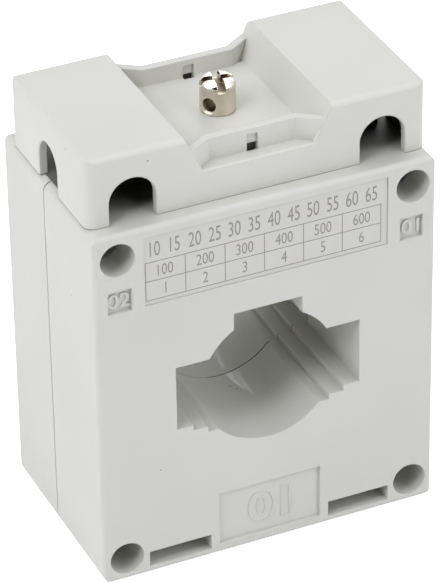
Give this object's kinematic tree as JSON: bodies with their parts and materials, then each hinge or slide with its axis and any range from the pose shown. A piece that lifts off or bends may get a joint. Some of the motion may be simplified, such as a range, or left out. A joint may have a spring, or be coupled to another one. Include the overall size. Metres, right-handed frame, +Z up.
{
  "type": "current transformer",
  "caption": "Window-type current transformer: a moulded case with a stepped busbar window, a sealable terminal cover on top and a ring core with its winding inside.",
  "frame": {"origin": "middle of the case's base, halfway between its front and rear faces", "axes": "+Z up to the terminal cover, +X to the right seen from the front, +Y from the front face (with the label) to the rear face"},
  "size_m": [0.06, 0.0368, 0.0788],
  "materials": {
    "case_plastic": "moulded warm grey ABS, satin",
    "cover_plastic": "moulded warm grey ABS, satin, slightly paler than the case",
    "label_film": "thin grey printed film",
    "nickel": "nickel-plated brass, bright",
    "brass": "bare brass",
    "plated_steel": "zinc-plated steel",
    "core_steel": "wound silicon steel strip",
    "copper_wire": "enamelled copper wire",
    "film": "clear amber polyester film",
    "tape": "yellow polyester tape",
    "board": "pressboard",
    "foam": "dark closed-cell foam",
    "sleeving": "varnished glass sleeving"
  },
  "bodies": {
    "root": {"front_shell": "case_plastic", "rear_shell": "case_plastic", "terminal_cover": "cover_plastic", "sealing_screw": "nickel", "sealing_bush": "brass", "rating_label": "label_film", "core": "core_steel", "core_ring_front": "board", "core_ring_rear": "board", "core_film": "film", "secondary_winding": "copper_wire", "coil_tape": "tape", "pad_front": "foam", "pad_rear": "foam", "lead_sleeve_left": "sleeving", "lead_sleeve_right": "sleeving", "terminal_plate_left": "nickel", "terminal_plate_right": "nickel", "terminal_nut_left": "brass", "terminal_nut_right": "brass", "clamp_washer_left": "plated_steel", "clamp_washer_right": "plated_steel", "spring_washer_left": "plated_steel", "spring_washer_right": "plated_steel", "terminal_screw_left": "plated_steel", "terminal_screw_right": "plated_steel", "case_screws": "plated_steel"}
  },
  "joints": []
}
